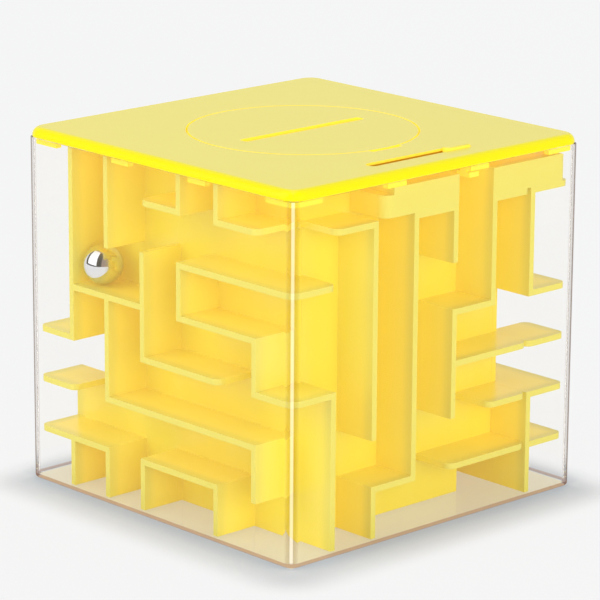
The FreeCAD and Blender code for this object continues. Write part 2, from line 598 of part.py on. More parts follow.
# ---------------------------------------------------------------- lid
def make_lid_cover():
    """Square lid with hanging tabs, a stepped well for the disc and a slot for the latch."""
    body = new_body("lid_cover")
    outline = add_sketch(body, "lid_outline", "XY_Plane", "Layout.lid_base")
    draw_round_rectangle(outline, "edge", "Layout.lid_half", "Layout.lid_half", "Sizes.lid_corner")
    pad(body, "lid_plate", outline, "Sizes.lid_thickness")
    top = value_of("lid_top")
    base = value_of("lid_base")
    round_edges(body, "lid_edge", "Sizes.lid_round", lambda edge: lies_at(edge, "z", top))
    round_edges(body, "lid_underside", "Sizes.lid_underside_round", lambda edge: lies_at(edge, "z", base))
    tabs = add_sketch(body, "tab_plan", "XY_Plane", "Layout.lid_base")
    half_tab = "Sizes.tab_length / 2"
    spans = (
        ("-Layout.tab_reach", "Sizes.corner_tab_length - Layout.tab_reach"),
        (f"-Layout.tab_centre - {half_tab}", f"-Layout.tab_centre + {half_tab}"),
        (f"Layout.tab_centre - {half_tab}", f"Layout.tab_centre + {half_tab}"),
        ("Layout.tab_reach - Sizes.corner_tab_length", "Layout.tab_reach"),
    )
    for number, (left, right) in enumerate(spans):
        draw_rectangle(tabs, f"tab_{number}", left, right, "-Layout.tab_reach", "-Layout.tab_inner")
    tab_pad = pad(body, "tabs_of_one_side", tabs, "Sizes.tab_height", reverse=True)
    doc.recompute()
    pattern = body.newObject("PartDesign::PolarPattern", "tabs")
    pattern.Originals = [tab_pad]
    pattern.Axis = (tabs, ["N_Axis"])
    pattern.Angle = 360
    pattern.Occurrences = 4
    body.Tip = pattern
    corner = value_of("tab_reach")
    round_edges(
        body, "tab_corners", "Layout.inner_corner",
        lambda edge: runs_along(edge, "z") and same(abs(edge.Vertexes[0].Point.x), corner)
        and same(abs(edge.Vertexes[0].Point.y), corner),
    )
    relief = add_sketch(body, "lane_relief_plan", "XY_Plane", "Layout.lid_base")
    outer = "Layout.tab_inner"
    inner = "Layout.core_half"
    near_end = "Sizes.latch_slot_centre - Layout.relief_end"
    far_end = "Sizes.latch_slot_centre + Layout.relief_end"
    draw_outline(
        relief, "relief",
        [
            (outer, near_end), (outer, f"-{outer}"), (f"-{outer}", f"-{outer}"), (f"-{outer}", outer),
            (outer, outer), (outer, far_end), (inner, far_end), (inner, inner), (f"-{inner}", inner),
            (f"-{inner}", f"-{inner}"), (inner, f"-{inner}"), (inner, near_end),
        ],
    )
    pocket(body, "lane_relief", relief, "Sizes.lane_relief", reverse=True)
    ledge = add_sketch(body, "disc_hole_plan", "XY_Plane", "Layout.lid_top")
    draw_circle(ledge, "hole", "Layout.ledge_radius")
    pocket(body, "disc_hole", ledge, "Sizes.lid_thickness")
    well = add_sketch(body, "disc_well_plan", "XY_Plane", "Layout.lid_top")
    draw_circle(well, "well", "Layout.disc_well_radius")
    pocket(body, "disc_well", well, "Layout.lid_top - Layout.disc_well_base")
    notch = add_sketch(body, "nail_notch_plan", "XY_Plane", "Layout.lid_top")
    draw_rectangle(
        notch, "notch", "Layout.ledge_radius", "Layout.disc_well_radius + Sizes.nail_notch_width",
        "-Sizes.nail_notch_length / 2", "Sizes.nail_notch_length / 2",
    )
    pocket(body, "nail_notch", notch, "Sizes.nail_notch_depth")
    foot_well = add_sketch(body, "foot_well_plan", "XY_Plane", "Layout.lid_base")
    draw_rectangle(
        foot_well, "well", "Layout.latch_line - Layout.foot_well_half_width",
        "Layout.latch_line + Layout.foot_well_half_width",
        "Sizes.latch_slot_centre - Layout.foot_well_half_length",
        "Sizes.latch_slot_centre + Layout.foot_well_half_length",
    )
    pocket(body, "foot_well", foot_well, "Layout.foot_well_depth", reverse=True)
    slot = add_sketch(body, "latch_slot_plan", "XY_Plane", "Layout.lid_top")
    draw_round_rectangle(
        slot, "slot", "Layout.latch_half_width", "Layout.latch_half_length", "Sizes.latch_slot_round",
        "Layout.latch_line", "Sizes.latch_slot_centre",
    )
    pocket(body, "latch_slot", slot, "Sizes.lid_thickness")
    pilots = add_sketch(body, "liner_pilot_plan", "XY_Plane", "Layout.lid_base")
    for number, (across, up) in enumerate(LINER_SCREWS):
        draw_circle(pilots, f"pilot_{number}", "Layout.screw_hole_radius", across, up)
    pocket(body, "liner_pilots", pilots, "Layout.pilot_end - Layout.lid_base", reverse=True)
    strip_pilots = add_sketch(body, "strip_pilot_plan", "XY_Plane", "Layout.lid_base")
    for number, (across, up) in enumerate(STRIP_SCREWS):
        draw_circle(strip_pilots, f"pilot_{number}", "Layout.screw_hole_radius", across, up)
    pocket(body, "strip_pilots", strip_pilots, "Layout.pilot_end - Layout.lid_base", reverse=True)
    return body


def make_lid_liner():
    """Tray under the lid that closes the coin box, with bosses for its four screws."""
    body = new_body("lid_liner")
    outline = add_sketch(body, "liner_outline", "XY_Plane", "Layout.liner_base")
    draw_round_rectangle(outline, "edge", "Layout.liner_half", "Layout.liner_half", "Sizes.liner_corner")
    pad(body, "liner_block", outline, "Layout.liner_depth")
    tray = add_sketch(body, "liner_tray_plan", "XY_Plane", "Layout.lid_base")
    inside = "Layout.liner_half - Sizes.liner_rim"
    draw_round_rectangle(tray, "tray", inside, inside, "Sizes.liner_corner - Sizes.liner_rim")
    pocket(body, "liner_tray", tray, "Layout.lid_base - Layout.liner_tray_base")
    bosses = add_sketch(body, "liner_boss_plan", "XY_Plane", "Layout.liner_base")
    for number, (across, up) in enumerate(LINER_SCREWS):
        draw_circle(bosses, f"boss_{number}", "Sizes.liner_boss_radius", across, up)
    pad(body, "liner_bosses", bosses, "Layout.liner_depth")
    holes = add_sketch(body, "liner_hole_plan", "XY_Plane", "Layout.lid_base")
    for number, (across, up) in enumerate(LINER_SCREWS):
        draw_circle(holes, f"hole_{number}", "Layout.screw_hole_radius", across, up)
    pocket(body, "liner_holes", holes, "Layout.liner_depth")
    slot = add_sketch(body, "liner_slot_plan", "XY_Plane", "Layout.lid_base")
    draw_round_rectangle(
        slot, "slot", "Sizes.coin_slot_width / 2 + Sizes.liner_slot_gap",
        "Sizes.coin_slot_length / 2 + Sizes.liner_slot_gap", "Sizes.liner_slot_round",
    )
    pocket(body, "liner_slot", slot, "Layout.liner_depth")
    return body


# ---------------------------------------------------------------- coin disc
def cut_coin_slot(body, top, depth):
    slot = add_sketch(body, body.Name + "_slot_plan", "XY_Plane", top)
    draw_round_rectangle(
        slot, "slot", "Sizes.coin_slot_width / 2", "Sizes.coin_slot_length / 2", "Sizes.coin_slot_round",
    )
    pocket(body, body.Name + "_slot", slot, depth)


def make_coin_disc():
    body = new_body("coin_disc")
    hub = add_sketch(body, "hub_plan", "XY_Plane", "Layout.hub_base")
    draw_circle(hub, "hub", "Layout.hub_radius")
    pad(body, "hub", hub, "Layout.lid_top - Layout.hub_base")
    flange = add_sketch(body, "flange_plan", "XY_Plane", "Layout.disc_seat")
    draw_circle(flange, "flange", "Layout.disc_radius")
    pad(body, "flange", flange, "Sizes.disc_flange")
    cut_coin_slot(body, "Layout.lid_top", "Layout.lid_top - Layout.hub_base")
    pilots = add_sketch(body, "disc_pilot_plan", "XY_Plane", "Layout.hub_base")
    for number, (across, up) in enumerate(DISC_SCREWS):
        draw_circle(pilots, f"pilot_{number}", "Layout.screw_hole_radius", across, up)
    pocket(body, "disc_pilots", pilots, "Layout.pilot_end - Layout.hub_base", reverse=True)
    return body


def make_disc_retainer():
    """Plate screwed to the disc from below, wider than the hole that the disc turns in."""
    body = new_body("disc_retainer")
    outline = add_sketch(body, "retainer_outline", "XY_Plane", "Layout.retainer_base")
    draw_circle(outline, "edge", "Layout.retainer_radius")
    pad(body, "retainer_plate", outline, "Sizes.retainer_thickness")
    cut_coin_slot(body, "Layout.hub_base", "Sizes.retainer_thickness")
    holes = add_sketch(body, "retainer_hole_plan", "XY_Plane", "Layout.hub_base")
    for number, (across, up) in enumerate(DISC_SCREWS):
        draw_circle(holes, f"hole_{number}", "Layout.screw_hole_radius", across, up)
    pocket(body, "retainer_holes", holes, "Sizes.retainer_thickness")
    return body


# ---------------------------------------------------------------- latch
def make_slider_strip():
    """Strip screwed under the lid that the slider's foot rides on."""
    body = new_body("slider_strip")
    plan = add_sketch(body, "strip_plan", "XY_Plane", "Layout.strip_base")
    draw_rectangle(
        plan, "strip", "Layout.latch_line - Layout.strip_half_width",
        "Layout.latch_line + Layout.strip_half_width",
        "Sizes.latch_slot_centre - Layout.strip_half_length",
        "Sizes.latch_slot_centre + Layout.strip_half_length",
    )
    pad(body, "strip_plate", plan, "Sizes.strip_thickness")
    slot = add_sketch(body, "strip_slot_plan", "XY_Plane", "Layout.lid_base")
    draw_rectangle(
        slot, "slot", "Layout.latch_line - Layout.strip_slot_half_width",
        "Layout.latch_line + Layout.strip_slot_half_width",
        "Layout.strip_slot_centre - Layout.strip_slot_half_length",
        "Layout.strip_slot_centre + Layout.strip_slot_half_length",
    )
    for number, (across, up) in enumerate(STRIP_SCREWS):
        draw_circle(slot, f"hole_{number}", "Layout.screw_hole_radius", across, up)
    pocket(body, "strip_openings", slot, "Sizes.strip_thickness")
    return body


def make_latch_slider():
    """Knob, foot, neck and hook in one piece, drawn at the open end of its slot."""
    body = new_body("latch_slider")
    line = "Layout.latch_line"
    knob_place = "Layout.knob_place"
    hook_place = "Layout.hook_place"
    foot_half = "Sizes.foot_length / 2"
    hook_half = "Layout.hook_half_length"
    stages = (
        ("foot", "Layout.foot_base", "Sizes.foot_thickness", "Sizes.foot_width / 2", knob_place, foot_half),
        ("neck", "Layout.toe_base", "Layout.foot_top - Layout.toe_base", "Sizes.hook_neck / 2", hook_place,
         hook_half),
        ("toe", "Layout.toe_base", "Sizes.hook_toe", "Sizes.hook_width / 2", hook_place, hook_half),
    )
    for name, base, height, half_wide, place, half_long in stages:
        plan = add_sketch(body, name + "_plan", "XY_Plane", base)
        draw_rectangle(
            plan, name, f"{line} - {half_wide}", f"{line} + {half_wide}", f"{place} - {half_long}",
            f"{place} + {half_long}",
        )
        pad(body, name, plan, height)
    knob = add_sketch(body, "knob_plan", "XY_Plane", "Layout.foot_base")
    draw_round_rectangle(
        knob, "knob", "Layout.knob_half_width", "Layout.knob_half_length",
        "Sizes.latch_slot_round - Sizes.knob_gap", line, knob_place,
    )
    pad(body, "knob", knob, "Layout.lid_top + Sizes.knob_rise - Layout.foot_base")
    knob_top = value_of("lid_top") + value_of("knob_rise")
    round_edges(body, "knob_edge", "Sizes.knob_edge_round", lambda edge: lies_at(edge, "z", knob_top))
    return body


# ---------------------------------------------------------------- screws
LINER_SCREWS = tuple(
    (f"Layout.liner_screw_offset * {x}", f"Layout.liner_screw_offset * {y}")
    for x, y in ((-1, -1), (1, -1), (1, 1), (-1, 1))
)
DISC_SCREWS = tuple(
    (f"Layout.disc_screw_radius * cos({angle})", f"Layout.disc_screw_radius * sin({angle})")
    for angle in (0, 120, 240)
)
STRIP_SCREWS = tuple(
    ("Layout.latch_line", f"Sizes.latch_slot_centre + Layout.strip_screw_place * {side}") for side in (-1, 1)
)


def make_screw(name, across, up, seat):
    """Pan-head self-tapping screw, point up, with the underside of its head at the seat."""
    body = new_body(name)
    profile = add_sketch(body, name + "_profile", "XZ_Plane")
    head = "Sizes.screw_head_radius"
    length = f"Layout.screw_tip - {seat}"
    draw_outline(
        profile, "profile",
        [
            ("0", "-Sizes.screw_head_height"), (head, "-Sizes.screw_head_height"), (head, "0"),
            ("Sizes.screw_radius", "0"), ("Sizes.screw_radius", f"{length} - Sizes.screw_point"),
            ("0", length),
        ],
    )
    turned = body.newObject("PartDesign::Revolution", name + "_turned")
    turned.Profile = profile
    turned.ReferenceAxis = (profile, ["V_Axis"])
    turned.Angle = 360
    body.setExpression("Placement.Base.x", across)
    body.setExpression("Placement.Base.y", up)
    body.setExpression("Placement.Base.z", seat)
    return body


def make_screw_group(name, places, seat):
    screws = [make_screw(f"{name}_{n}", across, up, seat) for n, (across, up) in enumerate(places)]
    group = doc.addObject("Part::Compound", name)
    group.Label = name
    group.Links = screws
    return group


# ---------------------------------------------------------------- the whole cube
pieces = [
    make_clear_case(),
    make_panel("maze_front", 0, FRONT_RIBS, FRONT_SHELVES, "core_half", "reach", FRONT_WINGS),
    make_panel("maze_right", 90, RIGHT_RIBS, RIGHT_SHELVES, "side_half", "side_half", tunnel_side=1),
    make_panel("maze_back", 180, BACK_RIBS, BACK_SHELVES, "core_half", "reach", BACK_WINGS),
    make_panel("maze_left", 270, LEFT_RIBS, LEFT_SHELVES, "side_half", "side_half", tunnel_side=-1),
    make_money_floor(),
    make_latch_keeper(),
    make_goal_block(),
    make_maze_ball(),
    make_lid_cover(),
    make_lid_liner(),
    make_screw_group("lid_screws", LINER_SCREWS, "Layout.liner_base"),
    make_coin_disc(),
    make_disc_retainer(),
    make_screw_group("disc_screws", DISC_SCREWS, "Layout.retainer_base"),
    make_slider_strip(),
    make_screw_group("strip_screws", STRIP_SCREWS, "Layout.strip_base"),
    make_latch_slider(),
]
doc.recompute()

failed = [item.Name for item in doc.Objects if {"Invalid", "Error"} & set(item.State)]
if failed:
    raise RuntimeError(f"failed features: {failed}")
for piece in pieces:
    if piece.Shape.isNull() or not piece.Shape.isValid():
        raise RuntimeError(f"{piece.Label} has no valid shape")

os.makedirs("parts", exist_ok=True)
for piece in pieces:
    piece.Shape.exportStep(f"parts/{piece.Label}.step")
    print(f"{piece.Label}: {len(piece.Shape.Solids)} solids, {piece.Shape.Volume:.1f} mm3")
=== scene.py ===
"""Finish of the ball maze coin cube: clear plastic case, yellow moulded maze and lid, chrome ball."""
from math import cos, pi, radians, sin

import bmesh
import bpy
from mathutils import Matrix, Vector


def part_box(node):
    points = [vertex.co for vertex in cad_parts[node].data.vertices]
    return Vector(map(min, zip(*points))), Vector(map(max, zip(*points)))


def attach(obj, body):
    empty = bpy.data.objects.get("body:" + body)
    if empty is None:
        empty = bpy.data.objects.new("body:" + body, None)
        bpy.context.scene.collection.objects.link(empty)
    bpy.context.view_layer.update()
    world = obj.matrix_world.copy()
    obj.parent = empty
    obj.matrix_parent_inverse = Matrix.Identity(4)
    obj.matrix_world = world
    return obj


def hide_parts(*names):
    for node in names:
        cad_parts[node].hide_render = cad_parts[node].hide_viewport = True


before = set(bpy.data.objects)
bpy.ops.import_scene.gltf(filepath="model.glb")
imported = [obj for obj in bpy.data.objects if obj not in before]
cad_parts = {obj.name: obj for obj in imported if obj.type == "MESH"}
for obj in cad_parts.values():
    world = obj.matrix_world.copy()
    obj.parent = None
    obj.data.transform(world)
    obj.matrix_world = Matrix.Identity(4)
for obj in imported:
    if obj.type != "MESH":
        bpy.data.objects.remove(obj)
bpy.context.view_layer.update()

MM = 0.001

# ---------------------------------------------------------------- places read from the frame
case_low, case_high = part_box("clear_case")
_, lid_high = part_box("lid_cover")
front_low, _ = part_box("maze_front")
ball_low, ball_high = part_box("maze_ball")

# Each of these is measured square from the upright axis of the cube.
MAZE_REACH = -front_low.y               # the ribs' outer faces
LID_HALF = lid_high.x                   # the lid's rim
CASE_HALF = case_high.x                 # the case's outer faces
CORNER_MIDDLE = CASE_HALF - 0.76 * MM   # the middle of the case's rounded upright corners

BALL_MIDDLE = (ball_low + ball_high) / 2

# ---------------------------------------------------------------- colours
# Plain linear colours. The glows and glint are painted light, given as emission; tints colour what is seen
# through the case.
LEMON = (0.86, 0.745, 0.118, 1.0)       # rims of the core's plastic, painted lighter as if lit; also its flow streaks
SHADED_YOLK = (0.835, 0.70, 0.030, 1.0)        # the same plastic painted deeper as shade, in the core's recesses and under the lid
PAINTED_CORE_GLOW = (0.85, 0.50, 0.010, 1.0)    # painted glow, for light that soaks into the core from around
# The lid's face colour holds a painted sheen: it is bluer than the rim's.
LID_YELLOW_WITH_SHEEN = (0.90, 0.785, 0.092, 1.0)
LID_RIM = (0.93, 0.83, 0.001, 1.0)
SLOT_SHADE_BROWN = (0.66, 0.33, 0.010, 1.0)   # painted shade down in the slot that the knob runs in
PAINTED_LID_GLOW = (1.0, 0.62, 0.020, 1.0)      # painted glow, for light that comes through the lid
NO_GLOW = (0.0, 0.0, 0.0, 1.0)
CLEAR_TINT = (1.0, 1.0, 0.998, 1.0)
CORNER_SHADE_TINT = (0.70, 0.64, 0.60, 1.0)   # painted shade where the case is seen along its moulded corners
OUTLINE_SHADE_TINT = (0.60, 0.55, 0.51, 1.0)  # painted shade on the same corners seen from the side
FOOT_SHADE_TINT = (0.74, 0.57, 0.50, 1.0)     # painted shade on the bottom edge of the case's walls
SHADE_TINT = (0.99, 0.99, 0.99, 1.0)    # lamp and scattered light that passes the case
TRAPPED_TINT = (0.84, 0.80, 0.77, 1.0)  # light that has turned many times in the case's walls
PAINTED_RIDGE_GLINT = (1.0, 1.0, 0.97, 1.0)     # painted glint, given off down the case's upright edges
CHROME = (0.83, 0.83, 0.84, 1.0)
DULL_CHROME = (0.74, 0.74, 0.76, 1.0)
ZINC = (0.60, 0.60, 0.58, 1.0)
BRIGHT_ZINC = (0.80, 0.80, 0.78, 1.0)
FLOOR_WHITE = (0.920, 0.922, 0.925, 1.0)
FLOOR_UNDER_WARM_SHADE = (0.82, 0.75, 0.56, 1.0)   # painted warm shade on the floor seen through the bottom of the case
CONTACT_SHADOW_GREY = (0.51, 0.55, 0.61, 1.0)  # painted shadow on the floor close round the case
STUDIO_WHITE = (1.0, 1.0, 1.0, 1.0)     # light of the surroundings
STUDIO_WALL = (0.920, 0.920, 0.914, 1.0)    # the surroundings as they are seen
WINDOW_WHITE = (1.3, 1.3, 1.3, 1.0)
WINDOW_FRAME = (0.06, 0.055, 0.05, 1.0)
DARK_ROOM = (0.36, 0.27, 0.22, 1.0)


# ---------------------------------------------------------------- node helpers
def add_node(tree, kind, **settings):
    """New node of a kind, with its settings made."""
    node = tree.nodes.new(kind)
    for name, value in settings.items():
        setattr(node, name, value)
    return node


def join(tree, source, target):
    """Link from an output to an input."""
    tree.links.new(source, target)


def feed(tree, value, target):
    """Give an input a socket's output, or a plain value."""
    if isinstance(value, bpy.types.NodeSocket):
        join(tree, value, target)
    else:
        target.default_value = value


def new_group(name, inputs, outputs):
    """Empty node group with value inputs and typed outputs."""
    group = bpy.data.node_groups.new(name, "ShaderNodeTree")
    for label, value in inputs.items():
        socket = group.interface.new_socket(name=label, in_out="INPUT", socket_type="NodeSocketFloat")
        socket.default_value = value
    for label, kind in outputs.items():
        group.interface.new_socket(name=label, in_out="OUTPUT", socket_type="NodeSocket" + kind)
    return group, add_node(group, "NodeGroupInput"), add_node(group, "NodeGroupOutput")


def use_group(tree, group, **values):
    """Shared group placed in a material, with its inputs set."""
    node = add_node(tree, "ShaderNodeGroup", node_tree=group)
    for label, value in values.items():
        node.inputs[label].default_value = value
    return node


def calculate(tree, operation, *values):
    """Result of a math node on sockets or plain numbers."""
    node = add_node(tree, "ShaderNodeMath", operation=operation)
    for number, value in enumerate(values):
        feed(tree, value, node.inputs[number])
    return node.outputs[0]


def inverse(tree, mask):
    """1 where the mask is 0, and 0 where it is 1."""
    return calculate(tree, "SUBTRACT", 1.0, mask)


def spread(tree, value, low, high, smooth=True):
    """Value spread from 0 at low to 1 at high, and held there beyond them."""
    shape = "SMOOTHSTEP" if smooth else "LINEAR"
    node = add_node(tree, "ShaderNodeMapRange", interpolation_type=shape)
    feed(tree, value, node.inputs["Value"])
    feed(tree, low, node.inputs["From Min"])
    feed(tree, high, node.inputs["From Max"])
    return node.outputs["Result"]


def mix_colours(tree, factor, first, second):
    """First colour where the factor is 0, second where it is 1."""
    node = add_node(tree, "ShaderNodeMix", data_type="RGBA")
    join(tree, factor, node.inputs["Factor"])
    # Inputs 6 and 7 and output 2 are the node's colours; the others of the same names are for values.
    feed(tree, first, node.inputs[6])
    feed(tree, second, node.inputs[7])
    return node.outputs[2]


def mix_shaders(tree, factor, first, second):
    """First shader where the factor is 0, second where it is 1."""
    mixer = add_node(tree, "ShaderNodeMixShader")
    join(tree, factor, mixer.inputs[0])
    join(tree, first, mixer.inputs[1])
    join(tree, second, mixer.inputs[2])
    return mixer.outputs[0]


def noise(tree, place, scale, detail=2.0, stretch=(1.0, 1.0, 1.0)):
    """Noise over a place, in cycles per metre."""
    mapping = add_node(tree, "ShaderNodeMapping")
    mapping.inputs["Scale"].default_value = stretch
    join(tree, place, mapping.inputs["Vector"])
    node = add_node(tree, "ShaderNodeTexNoise")
    node.inputs["Scale"].default_value = scale
    node.inputs["Detail"].default_value = detail
    join(tree, mapping.outputs["Vector"], node.inputs["Vector"])
    return node.outputs["Fac"]


def own_place(tree):
    """Place of a point in the object's own coordinates."""
    return add_node(tree, "ShaderNodeTexCoord").outputs["Object"]


def parts_of(tree, vector):
    """The X, Y and Z outputs of a vector."""
    parts = add_node(tree, "ShaderNodeSeparateXYZ")
    join(tree, vector, parts.inputs[0])
    return parts.outputs["X"], parts.outputs["Y"], parts.outputs["Z"]


def true_normal(tree):
    """Direction of the flat face itself, before any smoothing."""
    return add_node(tree, "ShaderNodeNewGeometry").outputs["True Normal"]


# ---------------------------------------------------------------- masks
UPRIGHT_LIMIT = 0.5     # a face is upright while its normal rises or falls by less than this


def from_axis(tree, choice):
    """The MAXIMUM or MINIMUM of the two distances, along X and along Y, from the cube's upright axis."""
    x, y, _ = parts_of(tree, own_place(tree))
    return calculate(tree, choice, calculate(tree, "ABSOLUTE", x), calculate(tree, "ABSOLUTE", y))


def band_mask(tree, inner, outer):
    """Mask that grows from 0 at inner to 1 at outer, measured square from the cube's upright axis."""
    return spread(tree, from_axis(tree, "MAXIMUM"), inner, outer, smooth=False)


def corner_mask(tree, inner, outer):
    """Mask of the cube's upright corners, from 0 at inner to 1 at outer on the nearer side."""
    return spread(tree, from_axis(tree, "MINIMUM"), inner, outer, smooth=False)


def facing_masks(tree):
    """Mask of the faces that look down, and mask of the upright ones."""
    _, _, rise = parts_of(tree, true_normal(tree))
    down = calculate(tree, "LESS_THAN", rise, -UPRIGHT_LIMIT)
    upright = calculate(tree, "LESS_THAN", calculate(tree, "ABSOLUTE", rise), UPRIGHT_LIMIT)
    return down, upright


def round_square_mask(tree, middle, half, near, far):
    """Mask about an upright square block, rounded off at its corners: 1 at near from it, 0 at far."""
    x, y, _ = parts_of(tree, own_place(tree))
    squares = []
    for part, centre in ((x, middle.x), (y, middle.y)):
        beyond = calculate(tree, "ABSOLUTE", calculate(tree, "SUBTRACT", part, centre))
        beyond = calculate(tree, "MAXIMUM", calculate(tree, "SUBTRACT", beyond, half), 0.0)
        squares.append(calculate(tree, "MULTIPLY", beyond, beyond))
    away = calculate(tree, "SQRT", calculate(tree, "ADD", squares[0], squares[1]))
    return spread(tree, away, far, near)


def seen_directly(tree):
    """1 where the eye meets the surface, straight or by way of metal or clear plastic."""
    path = add_node(tree, "ShaderNodeLightPath")
    eye = calculate(tree, "MAXIMUM", path.outputs["Is Camera Ray"], path.outputs["Is Glossy Ray"])
    return calculate(tree, "MAXIMUM", eye, path.outputs["Is Transmission Ray"])


# ---------------------------------------------------------------- effects that materials share
def make_moulded_skin():
    """Skin of a moulded part: fine grain, broad sinks and faint upright flow streaks."""
    group, _, end = new_group(
        "moulded_skin", {}, {"Grain": "Float", "Sinks": "Float", "Flow": "Float"},
    )
    place = own_place(group)
    join(group, noise(group, place, scale=1800.0, detail=3.0), end.inputs["Grain"])
    join(group, noise(group, place, scale=90.0, detail=1.0), end.inputs["Sinks"])
    streaks = noise(group, place, scale=160.0, detail=3.0, stretch=(1.0, 1.0, 0.25))
    join(group, streaks, end.inputs["Flow"])
    return group


def make_edge_wear_and_highlight():
    """Mask of the edges, where a rounded normal leaves the face's own: painted highlight on plastic,
    brighter on screws.
    """
    group, start, end = new_group("edge_wear_and_highlight", {"Width": 0.4 * MM}, {"Mask": "Float"})
    rounded = add_node(group, "ShaderNodeBevel", samples=4)
    join(group, start.outputs["Width"], rounded.inputs["Radius"])
    agreement = add_node(group, "ShaderNodeVectorMath", operation="DOT_PRODUCT")
    join(group, rounded.outputs["Normal"], agreement.inputs[0])
    join(group, true_normal(group), agreement.inputs[1])
    lean = inverse(group, agreement.outputs["Value"])
    join(group, spread(group, lean, 0.01, 0.22), end.inputs["Mask"])
    return group


def make_outer_band():
    """Band mask between Inner and Outer, for the yellow plastics."""
    group, start, end = new_group("outer_band", {"Inner": 42.0 * MM, "Outer": 43.4 * MM}, {"Mask": "Float"})
    join(group, band_mask(group, start.outputs["Inner"], start.outputs["Outer"]), end.inputs["Mask"])
    return group


def make_hairlines():
    """Fine handling scratches that run two ways over a glossy surface."""
    group, start, end = new_group("hairlines", {"Amount": 0.5}, {"Mask": "Float"})
    place = own_place(group)
    masks = []
    for turn, stretch in ((0.5, (1.0, 26.0, 1.0)), (1.9, (22.0, 1.0, 20.0))):
        turned = add_node(group, "ShaderNodeMapping")
        turned.inputs["Rotation"].default_value = (turn * 0.4, turn * 0.7, turn)
        join(group, place, turned.inputs["Vector"])
        streak = noise(group, turned.outputs["Vector"], scale=110.0, stretch=stretch)
        masks.append(spread(group, streak, 0.66, 0.74))
    both = calculate(group, "MAXIMUM", masks[0], masks[1])
    join(group, calculate(group, "MULTIPLY", both, start.outputs["Amount"]), end.inputs["Mask"])
    return group


skin_group = make_moulded_skin()
edge_group = make_edge_wear_and_highlight()
band_group = make_outer_band()
hairline_group = make_hairlines()


# ---------------------------------------------------------------- parts of a material
def new_material(name, **values):
    """Material with one Principled shader; values name its plain sockets."""
    material = bpy.data.materials.new(name)
    material.use_nodes = True
    tree = material.node_tree
    shader = tree.nodes["Principled BSDF"]
    for label, value in values.items():
        shader.inputs[label.replace("_", " ")].default_value = value
    return material, tree, shader


def set_roughness(tree, shader, mask, least, gain):
    """Roughness that is at its least where the mask is 0, and higher by the gain where it is 1."""
    join(tree, calculate(tree, "MULTIPLY_ADD", mask, gain, least), shader.inputs["Roughness"])


def set_bump(tree, shader, height, distance, strength):
    """Bumps of a height mask, a distance high where it is 1."""
    bump = add_node(tree, "ShaderNodeBump")
    bump.inputs["Strength"].default_value = strength
    bump.inputs["Distance"].default_value = distance
    join(tree, height, bump.inputs["Height"])
    join(tree, bump.outputs["Normal"], shader.inputs["Normal"])


def moulded_height(tree, skin, sinks):
    """Height of a moulded skin: its grain, and its sinks so many times as deep."""
    return calculate(tree, "MULTIPLY_ADD", skin.outputs["Sinks"], sinks, skin.outputs["Grain"])


def openness(tree, distance, samples):
    """1 in the open, and less where other surfaces stand within a distance."""
    node = add_node(tree, "ShaderNodeAmbientOcclusion", samples=samples)
    node.inputs["Distance"].default_value = distance
    return node.outputs["AO"]


def set_surface(tree, surface):
    """Shader that the material ends in."""
    join(tree, surface, tree.nodes["Material Output"].inputs["Surface"])


# ---------------------------------------------------------------- yellow core
RECESS_SHADE_DEPTH = 9 * MM         # this far in from the ribs' outer faces the plastic is all yolk, painted shade
RIM_LIGHT_DEPTH = 0.3 * MM      # and this far in it is as lemon, painted rim light, as it gets
RIM_LIGHT_SHARE = 0.75            # how much of the painted lemon light comes from the rims
EDGE_HIGHLIGHT_SHARE = 0.25           # and how much from the painted highlight on the edges
STREAK_SHARE = 0.18         # the most that a flow streak pales the plastic
PAINTED_GLOW_REACH = 14 * MM        # how far off a surface still shuts the plastic in, for its painted glow
PAINTED_GLOW_BAND = 0.6             # where the band mask is under this, the painted glow is at its full strength


def make_maze_plastic():
    """Moulded yellow core plastic: painted lemon light on rims, painted yolk shade deep in, painted glow
    where shut in.
    """
    material, tree, shader = new_material("maze_plastic", IOR=1.5, Emission_Strength=0.23)
    skin = use_group(tree, skin_group)
    band = use_group(tree, band_group, Inner=MAZE_REACH - RECESS_SHADE_DEPTH, Outer=MAZE_REACH - RIM_LIGHT_DEPTH)
    edges = use_group(tree, edge_group, Width=0.35 * MM)
    # Painted light and shade: rims and edges lighter as if lit, the deep plastic yolk as shade.
    rims = calculate(tree, "MULTIPLY", band.outputs["Mask"], RIM_LIGHT_SHARE)
    painted_rim_light = calculate(tree, "MULTIPLY_ADD", edges.outputs["Mask"], EDGE_HIGHLIGHT_SHARE, rims)
    tone = mix_colours(tree, painted_rim_light, SHADED_YOLK, LEMON)
    streaks = calculate(tree, "MULTIPLY", spread(tree, skin.outputs["Flow"], 0.35, 0.7), STREAK_SHARE)
    join(tree, mix_colours(tree, streaks, tone, LEMON), shader.inputs["Base Color"])
    # Painted glow, for light that soaks in, where other surfaces shut the plastic in.
    shut_in = inverse(tree, openness(tree, PAINTED_GLOW_REACH, samples=4))
    off_the_rims = spread(tree, band.outputs["Mask"], 1.0, PAINTED_GLOW_BAND)
    core_glow_mask = calculate(tree, "MULTIPLY", shut_in, off_the_rims)
    join(tree, mix_colours(tree, core_glow_mask, NO_GLOW, PAINTED_CORE_GLOW), shader.inputs["Emission Color"])
    set_roughness(tree, shader, skin.outputs["Grain"], least=0.26, gain=0.12)
    set_bump(tree, shader, moulded_height(tree, skin, sinks=8.0), distance=0.01 * MM, strength=0.5)
    return material


